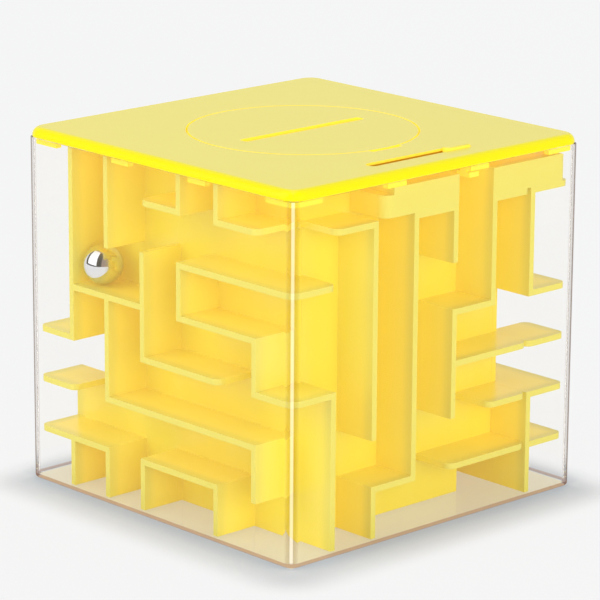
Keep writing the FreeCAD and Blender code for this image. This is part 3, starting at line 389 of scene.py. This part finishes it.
# ---------------------------------------------------------------- yellow lid
RIM_START = LID_HALF - 2.6 * MM         # the paler rim, without the face's painted sheen, begins here
RIM_FULL = LID_HALF - 1.2 * MM          # and is at its palest from here on
SLOT_SIDE = 33 * MM                     # inner side of the knob's slot, from the middle of the lid
SLOT_SIDE_FADE = 0.5 * MM
SLOT_TOP = lid_high.z - 0.5 * MM        # the slot's walls painted brown as shade, from here down to the next height
SLOT_BOTTOM = lid_high.z - 2.3 * MM
SLOT_FADE = 0.1 * MM


def slot_shade_mask(tree):
    """Mask of the part of the lid, below its face, that the knob's slot runs through, for its painted
    shade.
    """
    x, _, z = parts_of(tree, own_place(tree))
    below_face = spread(tree, z, SLOT_TOP, SLOT_TOP - SLOT_FADE)
    above_bottom = spread(tree, z, SLOT_BOTTOM, SLOT_BOTTOM + SLOT_FADE)
    past_side = spread(tree, x, SLOT_SIDE, SLOT_SIDE + SLOT_SIDE_FADE)
    height = calculate(tree, "MULTIPLY", below_face, above_bottom)
    return calculate(tree, "MULTIPLY", height, past_side)


def make_lid_plastic():
    """Glossier yellow lid plastic, lemon at its rim, with painted sheen and shade, and painted glow for
    light from above.
    """
    material, tree, shader = new_material(
        "lid_plastic", IOR=1.4, Specular_IOR_Level=0.25, Emission_Strength=0.32,
    )
    skin = use_group(tree, skin_group)
    band = use_group(tree, band_group, Inner=RIM_START, Outer=RIM_FULL)
    edges = use_group(tree, edge_group, Width=0.5 * MM)
    down, upright = facing_masks(tree)
    inner_walls = calculate(tree, "MULTIPLY", upright, inverse(tree, band.outputs["Mask"]))
    shaded_slot_walls = calculate(tree, "MULTIPLY", slot_shade_mask(tree), inner_walls)
    # Rim and edges keep the plain yellow; the face holds a painted sheen.
    rim = calculate(tree, "MAXIMUM", band.outputs["Mask"], edges.outputs["Mask"])
    tone = mix_colours(tree, rim, LID_YELLOW_WITH_SHEEN, LID_RIM)
    # Faces that look down are painted yolk, as shade.
    tone = mix_colours(tree, down, tone, SHADED_YOLK)
    # Painted brown shade down in the knob's slot.
    join(tree, mix_colours(tree, shaded_slot_walls, tone, SLOT_SHADE_BROWN), shader.inputs["Base Color"])
    # Painted glow on the underside and the other inner walls, for light that comes through the lid.
    other_walls = calculate(tree, "SUBTRACT", inner_walls, shaded_slot_walls)
    lid_glow_mask = calculate(tree, "MAXIMUM", down, other_walls)
    join(tree, mix_colours(tree, lid_glow_mask, NO_GLOW, PAINTED_LID_GLOW), shader.inputs["Emission Color"])
    set_roughness(tree, shader, skin.outputs["Grain"], least=0.22, gain=0.06)
    set_bump(tree, shader, moulded_height(tree, skin, sinks=6.0), distance=0.008 * MM, strength=0.5)
    return material


# ---------------------------------------------------------------- clear case
# Each pair is where a mask is 0 and where it is 1.
CORNER_BAND = (CORNER_MIDDLE - 1.5 * MM, CORNER_MIDDLE - 0.8 * MM)      # the tint, painted shade, of the upright corners
RIDGE_BAND = (CORNER_MIDDLE - 0.35 * MM, CORNER_MIDDLE - 0.2 * MM)      # the painted glint along their middle
SKIN_BAND = (CASE_HALF - 1.0 * MM, CASE_HALF - 0.8 * MM)                # the outer skin of the walls
FOOT_BAND = (1.3 * MM, 1.1 * MM)        # height of the painted shade on the bottom edge
OUTLINE_FACING = (0.38, 0.52)           # how far a corner turns from the eye before its painted dark outline shows
GLINT_FACING = (0.7, 0.1)               # and before its painted glint is gone
UNDERSIDE_HEIGHT = 0.02 * MM
MANY_TURNS = 4.5                        # a ray that has turned this often in the walls passes straight on


def make_clear_plastic():
    """Clear case plastic: glass-like to the eye, painted shade at its corners and foot, a painted glint,
    open to lamp light.
    """
    material, tree, shader = new_material(
        "clear_plastic", IOR=1.3, Transmission_Weight=1.0, Metallic=0.0, Emission_Strength=0.42,
    )
    facing = add_node(tree, "ShaderNodeLayerWeight").outputs["Facing"]
    # Painted shade along the moulded corners.
    corner = corner_mask(tree, *CORNER_BAND)
    join(tree, mix_colours(tree, corner, CLEAR_TINT, CORNER_SHADE_TINT), shader.inputs["Base Color"])
    # Painted glint, given off as emission down the middle of the upright corners.
    glint = calculate(tree, "MULTIPLY", corner_mask(tree, *RIDGE_BAND), spread(tree, facing, *GLINT_FACING))
    join(tree, mix_colours(tree, glint, NO_GLOW, PAINTED_RIDGE_GLINT), shader.inputs["Emission Color"])
    scratches = use_group(tree, hairline_group, Amount=0.6)
    set_roughness(tree, shader, scratches.outputs["Mask"], least=0.012, gain=0.05)
    skin = use_group(tree, skin_group)
    set_bump(tree, shader, skin.outputs["Sinks"], distance=0.01 * MM, strength=0.4)

    # Where light passes straight on, without the bending that clear plastic gives it, and its tint there;
    # at the corners' outline and at the foot that tint is painted shade.
    _, _, height = parts_of(tree, own_place(tree))
    outline = calculate(tree, "MULTIPLY", corner, spread(tree, facing, *OUTLINE_FACING))
    # Painted shade along the foot of the walls.
    foot = calculate(tree, "MULTIPLY", band_mask(tree, *SKIN_BAND), spread(tree, height, *FOOT_BAND))
    underside = calculate(tree, "LESS_THAN", height, UNDERSIDE_HEIGHT)
    path = add_node(tree, "ShaderNodeLightPath")
    trapped = calculate(tree, "GREATER_THAN", path.outputs["Ray Depth"], MANY_TURNS)
    scattered = calculate(
        tree, "MAXIMUM", path.outputs["Is Shadow Ray"], path.outputs["Is Diffuse Ray"],
    )
    surface = shader.outputs[0]
    for passing, tint in (
        (outline, OUTLINE_SHADE_TINT), (foot, FOOT_SHADE_TINT), (underside, CLEAR_TINT),
        (trapped, TRAPPED_TINT), (scattered, SHADE_TINT),
    ):
        straight_on = add_node(tree, "ShaderNodeBsdfTransparent")
        straight_on.inputs["Color"].default_value = tint
        surface = mix_shaders(tree, passing, surface, straight_on.outputs[0])
    set_surface(tree, surface)
    return material


# ---------------------------------------------------------------- ball and screws
def make_chrome():
    """Polished plating with a few hairlines."""
    material, tree, shader = new_material("chrome_plate", Metallic=1.0)
    skin = use_group(tree, skin_group)
    clouds = spread(tree, skin.outputs["Flow"], 0.5, 0.8)
    join(tree, mix_colours(tree, clouds, CHROME, DULL_CHROME), shader.inputs["Base Color"])
    scratches = use_group(tree, hairline_group, Amount=0.5)
    set_roughness(tree, shader, scratches.outputs["Mask"], least=0.035, gain=0.10)
    return material


def make_screw_steel():
    """Zinc-plated steel, brighter along its edges."""
    material, tree, shader = new_material("screw_steel", Metallic=1.0)
    skin = use_group(tree, skin_group)
    edges = use_group(tree, edge_group, Width=0.15 * MM)
    join(tree, mix_colours(tree, edges.outputs["Mask"], ZINC, BRIGHT_ZINC), shader.inputs["Base Color"])
    set_roughness(tree, shader, skin.outputs["Grain"], least=0.22, gain=0.25)
    set_bump(tree, shader, skin.outputs["Grain"], distance=0.01 * MM, strength=0.4)
    return material


FINISH = {
    "case_clear": make_clear_plastic(),
    "core_yellow": make_maze_plastic(),
    "lid_yellow": make_lid_plastic(),
    "ball_chrome": make_chrome(),
    "screw_steel": make_screw_steel(),
}
CORE_NODES = (
    "maze_front", "maze_right", "maze_back", "maze_left", "money_floor", "latch_keeper", "goal_block",
)
SCREW_NODES = ("lid_screws", "disc_screws", "strip_screws")
node_slot = {name: "lid_yellow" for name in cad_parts}
node_slot.update({name: "core_yellow" for name in CORE_NODES})
node_slot.update({name: "screw_steel" for name in SCREW_NODES})
node_slot.update({"clear_case": "case_clear", "maze_ball": "ball_chrome"})

# ---------------------------------------------------------------- CAD pieces
SOFT_EDGES = {name: 0.18 * MM for name in CORE_NODES}
SOFT_EDGES.update({"lid_cover": 0.35 * MM, "coin_disc": 0.35 * MM})


def soften_edges(node, width):
    """Round the sharp edges of a CAD node by so much, with its faces kept flat."""
    weld = node.modifiers.new("weld", "WELD")
    weld.merge_threshold = 0.001 * MM
    bevel = node.modifiers.new("edges", "BEVEL")
    bevel.width = width
    bevel.segments = 2
    bevel.limit_method = "ANGLE"
    bevel.angle_limit = radians(40)
    bevel.use_clamp_overlap = True
    flatten = node.modifiers.new("faces", "WEIGHTED_NORMAL")
    flatten.keep_sharp = False


for name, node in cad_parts.items():
    for slot in node.material_slots:
        slot.material = FINISH[node_slot[name]]
for name, width in SOFT_EDGES.items():
    soften_edges(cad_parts[name], width)


# ---------------------------------------------------------------- making objects
def place_in_scene(name, data):
    """New object for a mesh, lamp or camera, in the scene."""
    thing = bpy.data.objects.new(name, data)
    bpy.context.scene.collection.objects.link(thing)
    return thing


def make_mesh(name, work, material):
    """Mesh with one material from finished mesh work."""
    mesh = bpy.data.meshes.new(name)
    work.to_mesh(mesh)
    work.free()
    mesh.materials.append(material)
    return mesh


# ---------------------------------------------------------------- chrome ball
def make_ball():
    """True round ball in the place of the faceted one."""
    radius = (ball_high.x - ball_low.x) / 2
    work = bmesh.new()
    bmesh.ops.create_uvsphere(work, u_segments=64, v_segments=32, radius=radius)
    bmesh.ops.translate(work, verts=work.verts, vec=BALL_MIDDLE)
    for face in work.faces:
        face.smooth = True
    ball = place_in_scene("chrome_ball", make_mesh("chrome_ball", work, FINISH["ball_chrome"]))
    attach(ball, "ball")
    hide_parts("maze_ball")


make_ball()

# ---------------------------------------------------------------- floor
FLOOR_RADIUS = 6.0
FLOOR_GAP = 0.05 * MM                           # between the floor and the underside of the case
UNDER_BAND = (CASE_HALF - 1.2 * MM, CASE_HALF - 0.6 * MM)   # where the painted warm shade under the case ends
SHADE_MIDDLE = Vector((3 * MM, -3 * MM, 0.0))   # the painted soft shade is shifted towards the front corner
GREY_HALF = CASE_HALF - 2 * MM                  # half the width of the square that its painted grey goes round
GREY_REACH = (2 * MM, 15 * MM)                  # how far off that square the painted grey begins to fade, and ends
DIM_REACH = (0.5 * MM, 14 * MM)                 # and the same off the case for its dimness
CONTACT_REACH = 12 * MM                         # how far off the object itself still greys the floor, as painted shadow
SHADE_SHARE = 0.6                               # how far the painted shade alone turns the floor grey
OWN_LIGHT = 0.95                                # share of even light in the open floor as it is seen
SHADED_LIGHT = 0.42                             # how much of that share goes close round the case


def make_floor_material():
    """Pale floor: faintly mottled, painted shadow close round the case, and painted warm shade under it."""
    material, tree, shader = new_material("studio_floor", Roughness=0.9, Specular_IOR_Level=0.0)
    faint_grey = tuple(value * 0.995 for value in FLOOR_WHITE[:3]) + (1.0,)
    mottle = spread(tree, noise(tree, own_place(tree), scale=3.0), 0.3, 0.7)
    outside = band_mask(tree, *UNDER_BAND)
    # Painted shadow: grey round a square beside the case, and where the object stands close.
    beside = round_square_mask(tree, SHADE_MIDDLE, GREY_HALF, *GREY_REACH)
    around = round_square_mask(tree, SHADE_MIDDLE, CASE_HALF, *DIM_REACH)
    painted_shadow = spread(tree, openness(tree, CONTACT_REACH, samples=8), 1.0, 0.5)
    painted_shadow = calculate(tree, "MAXIMUM", painted_shadow, calculate(tree, "MULTIPLY", beside, SHADE_SHARE))
    painted_shadow = calculate(tree, "MULTIPLY", painted_shadow, outside)
    tone = mix_colours(tree, mottle, FLOOR_WHITE, faint_grey)
    # Painted warm shade on the floor under the case.
    tone = mix_colours(tree, outside, FLOOR_UNDER_WARM_SHADE, tone)
    tone = mix_colours(tree, painted_shadow, tone, CONTACT_SHADOW_GREY)
    join(tree, tone, shader.inputs["Base Color"])
    even = add_node(tree, "ShaderNodeEmission")
    join(tree, tone, even.inputs["Color"])
    share = calculate(tree, "MULTIPLY_ADD", around, -SHADED_LIGHT, OWN_LIGHT)
    share = calculate(tree, "MULTIPLY", share, seen_directly(tree))
    set_surface(tree, mix_shaders(tree, share, shader.outputs[0], even.outputs[0]))
    return material


def make_floor():
    """Wide round floor just under the case."""
    work = bmesh.new()
    bmesh.ops.create_circle(work, cap_ends=True, segments=64, radius=FLOOR_RADIUS)
    bmesh.ops.translate(work, verts=work.verts, vec=(0, 0, case_low.z - FLOOR_GAP))
    floor = place_in_scene("studio_floor", make_mesh("studio_floor", work, make_floor_material()))


# ---------------------------------------------------------------- light
# Strengths of the lamps, and of the even light from all round.
SURROUND_LIGHT = 0.62
KEY_LIGHT = 1.2
FRONT_LIGHT = 2.9
BACK_LIGHT = 1.3

# The key lamp, in metres from the ball: its two lower corners and the run up its side.
KEY_LOW_LEFT = 0.9 * Vector((-0.877, -0.905, 0.067))
KEY_LOW_RIGHT = 0.9 * Vector((0.205, -0.978, 0.032))
KEY_RISE = 0.9 * Vector((-0.174, 0.538, 1.552))
FRAME_ACROSS = 0.55         # width of the window's dark frame at the sides
FRAME_UP = 0.25             # and below and above
FRAME_BEHIND = 0.02         # how far the frame stands behind the window

# The other lamps stand upright near the floor, facing the cube: name, bearing in degrees, height, strength.
STANDING_LAMPS = (("front_lamp", 72, 0.9, FRONT_LIGHT), ("back_lamp", 215, 0.6, BACK_LIGHT))
LAMP_HALF_WIDTH = 0.9
LAMP_AWAY = 1.6
LAMP_FOOT = 0.05

# The dark sheet right of the camera stands over this line of the floor.
DARK_START = Vector((0.30, -1.7, 0.0))
DARK_END = Vector((1.6, -0.2, 0.0))
DARK_RISE = Vector((0.0, 0.0, 2.6))


def make_sheet(name, low_left, low_right, rise, colour):
    """Flat bright or dark sheet that shows only in reflections and through the clear case."""
    material = bpy.data.materials.new(name)
    material.use_nodes = True
    tree = material.node_tree
    glow = add_node(tree, "ShaderNodeEmission")
    glow.inputs["Color"].default_value = colour
    set_surface(tree, glow.outputs[0])
    mesh = bpy.data.meshes.new(name)
    mesh.from_pydata([low_left, low_right, low_right + rise, low_left + rise], [], [(0, 1, 2, 3)])
    mesh.materials.append(material)
    sheet = place_in_scene(name, mesh)
    for ray in ("camera", "diffuse", "shadow", "volume_scatter"):
        setattr(sheet, "visible_" + ray, False)


def make_softbox(name, low_left, low_right, rise, strength):
    """Broad rectangular lamp from its two lower corners and the run up its side."""
    across = low_right - low_left
    side = across.normalized()
    outward = across.cross(rise).normalized()
    data = bpy.data.lights.new(name, "AREA")
    data.shape = "RECTANGLE"
    data.size = across.length
    data.size_y = rise.length
    data.energy = strength * pi * data.size * data.size_y
    lamp = place_in_scene(name, data)
    axes = Matrix((side, outward.cross(side), outward)).transposed()
    lamp.matrix_world = Matrix.Translation((low_left + low_right + rise) / 2) @ axes.to_4x4()
    lamp.visible_glossy = False
    lamp.visible_transmission = False


def make_window(name, low_left, low_right, rise):
    """White sheet in front of a wider dark one: a window that the ball reflects."""
    across = low_right - low_left
    aside = across.normalized() * FRAME_ACROSS
    up = rise.normalized() * FRAME_UP
    behind = across.cross(rise).normalized() * FRAME_BEHIND
    make_sheet(
        name + "_frame", low_left - aside - up + behind, low_right + aside - up + behind, rise + 2 * up,
        WINDOW_FRAME,
    )
    make_sheet(name + "_face", low_left, low_right, rise, WINDOW_WHITE)


def make_studio():
    """Even pale surroundings, a key lamp with its window, two standing lamps and a dark sheet."""
    world = bpy.data.worlds.new("studio")
    bpy.context.scene.world = world
    world.use_nodes = True
    tree = world.node_tree
    light = tree.nodes["Background"]
    light.inputs["Color"].default_value = STUDIO_WHITE
    light.inputs["Strength"].default_value = SURROUND_LIGHT
    seen = add_node(tree, "ShaderNodeBackground")
    seen.inputs["Color"].default_value = STUDIO_WALL
    surface = mix_shaders(tree, seen_directly(tree), light.outputs[0], seen.outputs[0])
    join(tree, surface, tree.nodes["World Output"].inputs["Surface"])

    key_corners = BALL_MIDDLE + KEY_LOW_LEFT, BALL_MIDDLE + KEY_LOW_RIGHT
    make_softbox("key_lamp", *key_corners, KEY_RISE, KEY_LIGHT)
    make_window("key_lamp", *key_corners, KEY_RISE)
    for name, bearing, height, strength in STANDING_LAMPS:
        ahead = Vector((sin(radians(bearing)), -cos(radians(bearing)), 0))
        beside = Vector((cos(radians(bearing)), sin(radians(bearing)), 0)) * LAMP_HALF_WIDTH
        foot = ahead * LAMP_AWAY + Vector((0, 0, LAMP_FOOT))
        make_softbox(name, foot - beside, foot + beside, Vector((0, 0, height)), strength)
    make_sheet("dark_room", DARK_START, DARK_END, DARK_RISE, DARK_ROOM)


# ---------------------------------------------------------------- camera
def make_camera(aim, azimuth, elevation, roll, distance, lens):
    """Camera that looks at a point from a bearing and a height, turned a little about its axis."""
    back = Vector((sin(azimuth) * cos(elevation), -cos(azimuth) * cos(elevation), sin(elevation)))
    level = Vector((cos(azimuth), sin(azimuth), 0))
    across = cos(roll) * level + sin(roll) * back.cross(level)
    up = back.cross(across)
    data = bpy.data.cameras.new("camera")
    data.lens = lens
    data.sensor_width = 36.0
    camera = place_in_scene("camera", data)
    axes = Matrix((across, up, back)).transposed()
    camera.matrix_world = Matrix.Translation(aim + back * distance) @ axes.to_4x4()
    bpy.context.scene.camera = camera


make_floor()
make_studio()
make_camera(
    aim=Vector((-0.64, 0.02, 43.77)) * MM, azimuth=radians(46.834), elevation=radians(15.063),
    roll=radians(0.355), distance=787.2 * MM, lens=203.35,
)
bpy.context.scene.view_settings.view_transform = "Standard"
